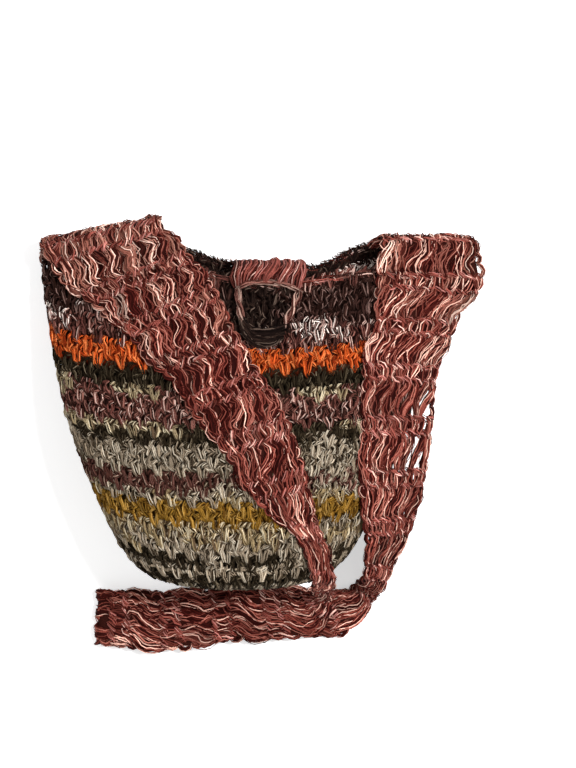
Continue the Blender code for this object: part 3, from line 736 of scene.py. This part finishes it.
class Round:
    """The stitches of one round of the bag, laid part by part."""

    def __init__(self, knit, fabric, number, count, inside=False):
        self.knit = knit
        self.fabric = fabric
        self.number = number
        self.inside = inside
        self.to_column = MM / round_length(fabric, number)
        self.pitch = 1 / (count * self.to_column)
        self.crowd = min(1.0, self.pitch / CROWDED)
        shift = random.normal(0, 0.5, count) * self.to_column
        self.centre = (np.arange(count) + 0.5 * (number % 2)) / count + shift
        self.names = np.array(stitch_yarns(number, count))
        middle = fabric.at(np.full(count, FIRST_ROUND + number), self.centre, np.zeros(count))[0]
        x, z = middle[:, 0], middle[:, 2]
        behind_loop = (x > BEHIND_LOOP[0]) & (x < BEHIND_LOOP[1]) & (z > RIM_HEIGHT / 2)
        # painted shadow and shade: near the rim, stitches behind the closing loop and inside the mouth take
        # the black yarn
        self.names[(behind_loop | inside) & (number < SHADED_ROUNDS)] = "black"
        self.names[(x > PALE_INSIDE) & inside & (number >= PALE_FROM_ROUND)] = "tweed"
        hidden = np.abs((self.centre % 1.0) - 0.5) > HIDDEN_FROM
        self.plain = hidden != inside

    def lay(self, downs, outs, heights, half, strands, twist, segments):
        """The same part of every stitch, with fewer strands where it is out of sight."""
        noise = random.normal(0, 1, (len(self.centre), np.shape(outs)[-1], 3))
        rows = FIRST_ROUND + self.number + downs + STRAY[0] * noise[..., 0]
        columns = self.centre[:, None] + (outs + STRAY[1] * noise[..., 1]) * self.to_column
        up = (np.asarray(heights) + STRAY[2] * noise[:, :1, 2]) * MM
        path = paths_of(rows, columns, -WALL - up if self.inside else up)
        spread, least, most = SIZE_STRAYS
        half = half * MM * np.clip(random.normal(1, spread, len(path)), least, most)
        arc = INWARD if self.inside else OUTWARD
        in_sight = (~self.plain, strands, STRAND)
        out_of_sight = (self.plain, strands // 2, COARSE * STRAND)
        for chosen, number, strand in (in_sight, out_of_sight):
            if chosen.any():
                colours = strand_colours(self.names[chosen], number)
                self.knit.lay(self.fabric, path[chosen], half[chosen], half[chosen] * YARN_FLATNESS, colours,
                              segments, twist, arc, strand=strand)

    def make(self):
        """A V of two legs for each stitch, and short crossed yarns that fill the space between the Vs."""
        count = (len(self.centre), 1)
        downs, outs, heights = (np.array(values) for values in LEG)
        lean = random.normal(*LEG_LEAN, count) * (LEAN_ABOUT - downs)
        for hand in (-1, 1):
            aside = hand * outs * self.crowd + lean
            self.lay(downs, aside, heights, LEG_SIZE * self.crowd, strands=5, twist=-0.8 * hand, segments=4)
        way = np.linspace(-1, 1, len(FILLING_HEIGHTS)) * FILLING_HALF
        for down, hand, shares in FILLING:
            for share in shares:
                slope = hand * random.normal(*FILLING_SLOPE, count)
                place = self.crowd + share * (self.pitch - 2 * self.crowd) + random.normal(0, 0.5, count)
                downs = down + random.normal(0, 0.06, count) + np.sin(slope) * way / ROUND_MM
                self.lay(downs, place + np.cos(slope) * way, FILLING_HEIGHTS, FILLING_SIZE,
                         strands=3, twist=1.2 * hand, segments=3)


def stitch_count(round_number):
    """Stitches in a round: the base's rounds shrink towards its middle."""
    share = min(1.0, (ROUNDS + BASE_ROUNDS - round_number - 0.5) / BASE_ROUNDS)
    return max(6, int(round(STITCHES * share)))


def make_bag(fabric, material):
    """Stitches of the bag, in bands of rounds, and the rim's edge."""
    for name, first, last in BANDS:
        knit = Knit()
        for round_number in range(first, last):
            Round(knit, fabric, round_number, stitch_count(round_number)).make()
        if first == 0:
            lay_rim(knit, fabric)
        knit.piece(name, material, "bag_body", "bag_yarn")


def lay_rim(knit, fabric):
    """Long slanted yarns that bind the edge of the mouth, red ones next to the closing loop."""
    count = 2 * STITCHES
    centre = (np.arange(count) + random.normal(0, 0.1, count)) / count
    for downs, heights in RIM_YARNS:
        rows = np.array(downs) + random.normal(0, 0.05, (count, len(downs)))
        columns = centre[:, None] + np.array(RIM_REACH) / count
        path = paths_of(rows, columns, np.array(heights) * MM)
        x = fabric.at(path[:, 1, 0], path[:, 1, 1], path[:, 1, 2])[0][:, 0]
        names = np.where((x > RED_RIM[0]) & (x < RED_RIM[1]), "brick", "mauve")
        colours = strand_colours(names, 5)
        knit.lay(fabric, path, *RIM_HALF, colours, segments=5, twist=1.4, arc=(-0.3, 1.3))


def make_shade_sheet(fabric, material):
    """Painted shade behind the stitches and on the bag's inner wall, and the stitches in its mouth."""
    knit = Knit()
    rows = np.arange(SHADE_SHEET_STEP / 2, ROUNDS + BASE_ROUNDS - SHADE_SHEET_STEP, SHADE_SHEET_STEP)
    row, column = np.meshgrid(rows, np.arange(SHADE_SHEET_COLUMNS) / SHADE_SHEET_COLUMNS, indexing="ij")
    outer, _ = fabric.at(row, column, np.full(row.shape, -SHADE_SHEET_DEPTH))
    inner, _ = fabric.at(row, column, np.full(row.shape, -WALL))
    # painted shade: each row takes its stripe's darkest strand colour, darkened by CORE_SHADE
    tint = np.array([np.min([c for c, _ in YARNS[stripe_at(v)[0]]], axis=0) * CORE_SHADE for v in rows])
    tints = np.concatenate([tint[::-1] * INNER_LIGHTER, tint])
    knit.sheet(np.concatenate([inner[::-1], outer]), tints[:, None], True)
    for round_number in range(INSIDE_ROUNDS):
        Round(knit, fabric, round_number, STITCHES, inside=True).make()
    knit.piece("bag_inner_wall", material, "bag_body", "bag_yarn")


# Strap

def band_width(fabric, row):
    """Width of the strap at rows."""
    low, high = (fabric.at(row, np.full(row.shape, edge), np.zeros(row.shape))[0] for edge in (0.0, 1.0))
    return np.linalg.norm(low - high, axis=-1)


def face_up(fabric, path):
    """For each yarn, 1 where the fabric's normal looks up and -1 where it looks down."""
    middle = path[:, path.shape[1] // 2]
    normal = fabric.at(middle[:, 0], middle[:, 1], middle[:, 2])[1]
    return np.where(normal[:, 2] > FACES_DOWN, 1, -1)


def strap_names(rows):
    """Yarn of each part of the strap: it fades towards its ends."""
    faded = random.random(len(rows)) < np.interp(rows, *zip(*FADED))
    return np.where(faded, "faded_red", "dusty_red")


def lay_faces(knit, fabric, path, names, half, strands, core=0, **style):
    """Yarns of the strap, with most strands on the face that looks up and a core only behind that one."""
    way = face_up(fabric, path)
    for hand in (-1, 1):
        chosen = way == hand
        if chosen.any():
            for (low, high), count, corners in ((UPPER_ARC, strands[0], core), (LOWER_ARC, strands[1], 0)):
                arc = (low, high) if hand > 0 else (-high, -low)
                colours = strand_colours(names[chosen], count, STRAP_VARIETY)
                knit.lay(fabric, path[chosen], half[0][chosen], half[1], colours, arc=arc, core=corners,
                         **style)


def lay_posts(knit, fabric, start, height, count, post):
    """A row of stitches across the strap, each a bundle of strands or two that spread."""
    column = (np.arange(count) + 0.5 + random.normal(0, 0.07, count)) / count
    pitch = band_width(fabric, np.full(count, start + height / 2)) / count
    half = np.clip(post["size"] * pitch, *POST_RANGE)
    if LOOSE[0] < start < LOOSE[1]:
        half = np.where(column > LOOSE_SIDE, LOOSENESS, 1.0) * half
    down, sway, spread = (np.array(post[key]) for key in ("down", "aside", "spread"))
    arch = POST_ARCH[0] * np.sin(np.pi * np.linspace(0, 1, len(down))) - POST_ARCH[1]
    for part in post["parts"]:
        rows = start + height * down + random.normal(0, ROW_STRAYS, (count, 1))
        way = face_up(fabric, paths_of(rows, column[:, None], 0))[:, None]
        swing = sway * random.normal(1, 0.25, (count, 1))
        aside = way * swing + part * spread + random.normal(0, 0.10, rows.shape)
        columns = np.clip(column[:, None] + aside / count, POSTS_FROM, 1 - POSTS_FROM)
        path = paths_of(rows, columns, (way * arch + random.normal(0, 0.4, (count, 1))) * MM)
        lay_faces(knit, fabric, path, strap_names(path[:, 0, 0]), (half, POST_THICK), post["strands"],
                  segments=post["segments"], **POST_STYLE)


def lay_crossings(knit, fabric, start, count):
    """Short slanted yarns in a chain across the strap where one row of stitches is worked into the next."""
    number = 2 * count
    column = (np.arange(number) + 0.5 + random.uniform(-0.3, 0.3, number)) / number
    down, aside, heights = (np.array(values) for values in CROSSING)
    rows = start + down + random.normal(0.0, ROW_STRAYS, (number, len(down)))
    columns = np.clip(column[:, None] + aside / number, POSTS_FROM, 1 - POSTS_FROM)
    way = face_up(fabric, paths_of(rows, columns, 0))[:, None]
    path = paths_of(rows, columns, way * heights * MM)
    half = (np.full(number, CROSSING_HALF[0]), CROSSING_HALF[1])
    lay_faces(knit, fabric, path, np.full(number, "brick"), half, CROSSING_STRANDS, **CROSSING_STYLE)


def lay_edges(knit, fabric, start, height):
    """Small loops of yarn side by side along both edges of the strap."""
    number = max(1, int(round(height / EDGE_LOOP)))
    middle = start + height * (np.arange(number) + 0.5) / number
    width = band_width(fabric, middle)[:, None]
    down, inwards, heights = (np.array(values) for values in EDGE)
    for edge, way in ((0.0, 1), (1.0, -1)):
        columns = edge + way * inwards * MM / width + random.normal(0, 0.5 * MM, (number, 1)) / width
        path = paths_of(middle[:, None] + EDGE_LOOP * down, columns, heights * MM)
        colours = strand_colours(strap_names(middle), EDGE_STRANDS, STRAP_VARIETY)
        knit.lay(fabric, path, EDGE_HALF, EDGE_HALF, colours, segments=6, twist=1.6, arc=ALL_ROUND, core=4)


def lay_shaded_backing(knit, fabric, first, last):
    """Sheet for the dense fabric behind the stitches of a part of the strap, in a dark painted shade."""
    rows = np.linspace(first, last, int((last - first) / BACKING_STEP))
    row, column = np.meshgrid(rows, np.linspace(*BACKING_ACROSS), indexing="ij")
    knit.sheet(fabric.at(row, column, np.zeros(row.shape))[0], SHADE_BACKING_COLOUR, False)


def make_strap(fabric, material):
    """The strap in two pieces: tall and short rows of stitches by turns."""
    length = fabric.row_step * (len(fabric.points) - 1)
    knit, name = Knit(), "strap_left"
    start, post, next_post = FIRST_ROW, TALL_POST, SHORT_POST
    lay_shaded_backing(knit, fabric, *BACKED[0])
    while start < length - SHORT_POST["height"]:
        height = min(post["height"], length - start)
        width = band_width(fabric, np.array([start + height / 2]))[0]
        count = int(np.clip(round(width / POST_PITCH), *POST_COUNT))
        lay_posts(knit, fabric, start, height, count, post)
        lay_crossings(knit, fabric, start, count)
        lay_edges(knit, fabric, start, height)
        start += height
        post, next_post = next_post, post
        if start > length / 2 and name == "strap_left":
            knit.piece(name, material, "strap", "strap_yarn")
            knit, name = Knit(), "strap_right"
            lay_shaded_backing(knit, fabric, *BACKED[1])
            lay_shaded_backing(knit, fabric, *BACKED[2])
    knit.piece(name, material, "strap", "strap_yarn")


# Closing loop

def lay_cord(knit, fabric, stations, yarn, half, sway):
    """Yarns side by side along a line on the loop, which cross over each other."""
    fine = curve_through(stations, [3] * (len(stations) - 1))
    for i in range(CORD_YARNS):
        wave = np.arange(len(fine)) * 0.8 + 2 * np.pi * i / CORD_YARNS
        rows, columns = (fine[:, axis] + sway[axis] * np.sin(wave) for axis in (0, 1))
        path = paths_of(rows, columns, (0.2 + 0.6 * np.cos(wave)) * MM)
        colours = strand_colours([yarn], 11, variety=0.2)
        knit.lay(fabric, path[None], half * MM, half * 0.85 * MM, colours, segments=2 * len(fine), twist=2.5,
                 arc=ALL_ROUND, core=4)


def lay_tab(knit, fabric):
    """Long yarns of the tab that comes over the rim, with fewer strands on their lower side."""
    column = (np.arange(WRAPS) + 0.5) / WRAPS
    down, aside, heights = (np.array(values) for values in WRAP)
    rows = down + random.normal(0, 0.06, (WRAPS, 1))
    columns = np.clip(column[:, None] + aside / WRAPS, 0.02, 0.98)
    path = paths_of(rows, columns, (heights + random.normal(0, 0.8, (WRAPS, 1))) * MM)
    for strands, twist, arc, core in ((10, 0.8, OUTWARD, 4), (4, 0.4, LOWER_ARC, 0)):
        colours = strand_colours(["brick"] * WRAPS, strands, variety=0.18)
        knit.lay(fabric, path, *WRAP_HALF, colours, segments=10, twist=twist, arc=arc, core=core)


def make_loop(fabric, material):
    """Closing loop: a tab over the rim, the cords round its hole and the dark band at its end."""
    knit = Knit()
    lay_tab(knit, fabric)
    for stations, half, sway in CORDS:
        lay_cord(knit, fabric, stations, "rose", half, sway)
    for share in (0, 0.33, 0.67, 1):
        low = 7.1 + 0.75 * share
        side = 0.14 - 0.12 * share
        stations = ((6.2, side), (low - 0.4, side + 0.02), (low, 0.34), (low, 0.7), (low - 0.2, 0.97))
        lay_cord(knit, fabric, stations, "black", BAND_HALF, BAND_SWAY)
    knit.piece("closing_loop_yarn", material, "closing_loop", "loop_yarn")


# Materials, light and camera

def settle(node, values):
    """Sets a node's inputs by their names."""
    for name, value in values.items():
        node.inputs[name].default_value = value


def new_material(name, values):
    """Material, its node tree and its shader with these inputs."""
    made = bpy.data.materials.new(name)
    made.use_nodes = True
    shader = made.node_tree.nodes["Principled BSDF"]
    settle(shader, values)
    return made, made.node_tree, shader


def yarn_material(name, roughness):
    """Matte yarn that takes its colour from the strands, with a fine fibrous surface."""
    made, tree, shader = new_material(name, {"Roughness": roughness, "Specular IOR Level": 0.04})
    place = tree.nodes.new("ShaderNodeTexCoord")
    colour = tree.nodes.new("ShaderNodeAttribute")
    colour.attribute_name = "yarn"
    fibres = tree.nodes.new("ShaderNodeTexNoise")
    settle(fibres, {"Scale": 900, "Detail": 3})
    ramp = tree.nodes.new("ShaderNodeValToRGB")
    for element, (position, tone) in zip(ramp.color_ramp.elements, FIBRE_TONES):
        element.position = position
        element.color = tone
    shade = tree.nodes.new("ShaderNodeMix")
    shade.data_type = "RGBA"
    shade.blend_type = "MULTIPLY"
    shade.inputs["Factor"].default_value = 0.5
    bump = tree.nodes.new("ShaderNodeBump")
    settle(bump, {"Strength": 0.4, "Distance": 0.0004})
    for output, socket in (
        (place.outputs["Object"], fibres.inputs["Vector"]),
        (fibres.outputs["Fac"], ramp.inputs["Fac"]),
        (fibres.outputs["Fac"], bump.inputs["Height"]),
        (colour.outputs["Color"], shade.inputs["A"]),
        (ramp.outputs["Color"], shade.inputs["B"]),
        (shade.outputs["Result"], shader.inputs["Base Color"]),
        (bump.outputs["Normal"], shader.inputs["Normal"]),
    ):
        tree.links.new(output, socket)
    return made


def make_stage():
    """Pale floor, soft light and the camera straight above."""
    make_floor()
    world = bpy.data.worlds.new("studio")
    world.use_nodes = True
    settle(world.node_tree.nodes["Background"], {"Color": (1, 1, 1, 1), "Strength": SKY})
    bpy.context.scene.world = world
    for name, place, power, size in LIGHTS:
        light = bpy.data.lights.new(name, "AREA")
        light.energy = power
        light.size = size
        lamp = new_object(name, light)
        lamp.location = place
        lamp.rotation_euler = (Vector(LIGHTS_FACE) - Vector(place)).to_track_quat("-Z", "Y").to_euler()
    camera = bpy.data.cameras.new("camera")
    camera.sensor_width = 36
    camera.lens = camera.sensor_width * CAMERA_AT[2] / (FLOOR_MM_PER_PIXEL * MM * PHOTO_HEIGHT)
    eye = new_object("camera", camera)
    eye.location = CAMERA_AT
    bpy.context.scene.camera = eye


def make_floor():
    """Pale floor that is lifted towards white only where the camera sees it, not where it lights the bag."""
    mesh = bpy.data.meshes.new("floor")
    corners = [(x * FLOOR_REACH, y * FLOOR_REACH, 0) for x, y in ((-1, -1), (1, -1), (1, 1), (-1, 1))]
    mesh.from_pydata(corners, [], [(0, 1, 2, 3)])
    floor = new_object("floor", mesh)
    paint, tree, shader = new_material(
        "floor_paint", {"Base Color": FLOOR_COLOUR, "Roughness": 0.9, "Emission Color": (1, 1, 1, 1)})
    rays = tree.nodes.new("ShaderNodeLightPath")
    seen = rays.outputs["Is Camera Ray"]
    for operation, other in (
        ("MAXIMUM", rays.outputs["Is Glossy Ray"]),
        ("MAXIMUM", rays.outputs["Is Transmission Ray"]),
        ("MULTIPLY", None),
    ):
        step = tree.nodes.new("ShaderNodeMath")
        step.operation = operation
        tree.links.new(seen, step.inputs[0])
        if other:
            tree.links.new(other, step.inputs[1])
        else:
            step.inputs[1].default_value = FLOOR_GLOW
        seen = step.outputs["Value"]
    tree.links.new(seen, shader.inputs["Emission Strength"])
    mesh.materials.append(paint)


bag = bag_fabric()
drape = Drape()
bag_yarn = yarn_material("bag_yarn", 0.85)
strap_yarn = yarn_material("strap_yarn", 0.7)
make_bag(bag, bag_yarn)
make_shade_sheet(bag, bag_yarn)
make_strap(strap_fabric(drape), strap_yarn)
make_loop(loop_fabric(drape), yarn_material("loop_yarn", 0.75))
make_stage()
bpy.context.scene.view_settings.view_transform = "Standard"
